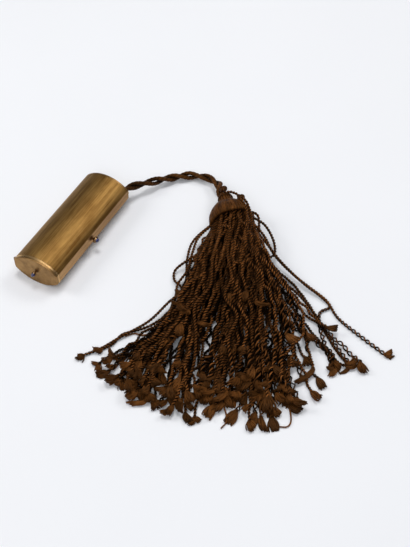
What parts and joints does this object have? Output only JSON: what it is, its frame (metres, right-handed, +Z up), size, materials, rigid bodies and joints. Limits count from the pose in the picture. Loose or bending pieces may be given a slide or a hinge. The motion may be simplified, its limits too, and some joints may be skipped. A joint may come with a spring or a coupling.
{
  "type": "tasselled pocket case",
  "caption": "Small arched-section gold pocket case with a reeded lid, blue push stones, a hinged end compartment and a twisted silk cord ending in a long tassel.",
  "frame": {"origin": "on the surface that the case lies on, under the middle of the case's box with its thumbpiece, hinge barrels, end button and cord bush, and without the cord and tassel", "axes": "+Z up, +Y along the case from the end lid to the cord's bush, +X towards the thumbpiece"},
  "size_m": [0.163, 0.1246, 0.015],
  "materials": {
    "gold_reeded": "fine lengthwise reeding, worn soft",
    "gold_plain": "polished rose gold with fine scratches",
    "gold_polished": "bright polished",
    "gilt_inside": "satin gilt",
    "spring_steel": "blued spring temper",
    "blue_stone": "polished cabochon",
    "silk_cord": "twisted silk, soft lustre",
    "silk_floss": "combed silk floss",
    "silk_strands": "two-ply twisted silk strands",
    "cotton_core": "wound cotton"
  },
  "bodies": {
    "case": {"base_shell": "gold_reeded", "base_band_hinge_side": "gold_plain", "base_band_front": "gold_plain", "base_hinge_knuckles": "gold_plain", "lid_hinge_pin": "gold_plain", "far_end_plate": "gold_plain", "end_frame": "gold_plain", "end_box": "gilt_inside", "end_bulkhead": "gilt_inside", "end_frame_knuckles": "gold_plain", "end_hinge_pin": "gold_plain", "latch_spring": "spring_steel", "latch_posts": "gilt_inside", "cord_bush": "gold_plain", "cord": "silk_cord", "tassel_neck": "silk_floss", "tassel_cap": "silk_floss", "tassel_core": "cotton_core", "tassel_top_knot": "silk_cord", "tassel_side_knot": "silk_cord", "tassel_skirt_left": "silk_strands", "tassel_skirt_mid_left": "silk_strands", "tassel_skirt_mid_right": "silk_strands", "tassel_skirt_right": "silk_strands"},
    "lid": {"lid_shell": "gold_reeded", "lid_band_hinge_side": "gold_plain", "lid_band_front": "gold_plain", "lid_hinge_knuckles": "gold_plain", "lid_catch": "gilt_inside"},
    "end_lid": {"end_lid_plate": "gold_plain", "end_lid_collar": "gilt_inside", "end_lid_knuckle": "gold_plain", "end_latch_spring": "spring_steel", "end_spring_post": "gilt_inside"},
    "thumbpiece": {"thumbpiece": "gold_polished", "thumbpiece_flange": "gilt_inside", "thumbpiece_stone": "blue_stone"},
    "end_button": {"end_button": "gold_polished", "end_button_flange": "gilt_inside", "end_button_stone": "blue_stone"}
  },
  "joints": [
    {"name": "lid_hinge", "type": "hinge", "parent": "case", "child": "lid", "pos_m": [-0.0124, 0.00125, 0.00725], "axis": [0, -1, 0], "range_deg": [0, 100]},
    {"name": "end_lid_hinge", "type": "hinge", "parent": "case", "child": "end_lid", "pos_m": [-0.0124, -0.0277, 0.00725], "axis": [0, 0, -1], "range_deg": [0, 100]},
    {"name": "thumb_press", "type": "slide", "parent": "case", "child": "thumbpiece", "axis": [-1, 0, 0], "range_m": [0, 0.0005], "stiffness_N_per_m": 200, "deforming": ["latch_spring"]},
    {"name": "button_press", "type": "slide", "parent": "end_lid", "child": "end_button", "axis": [0, 1, 0], "range_m": [0, 0.0005], "stiffness_N_per_m": 200, "deforming": ["end_latch_spring"]}
  ]
}
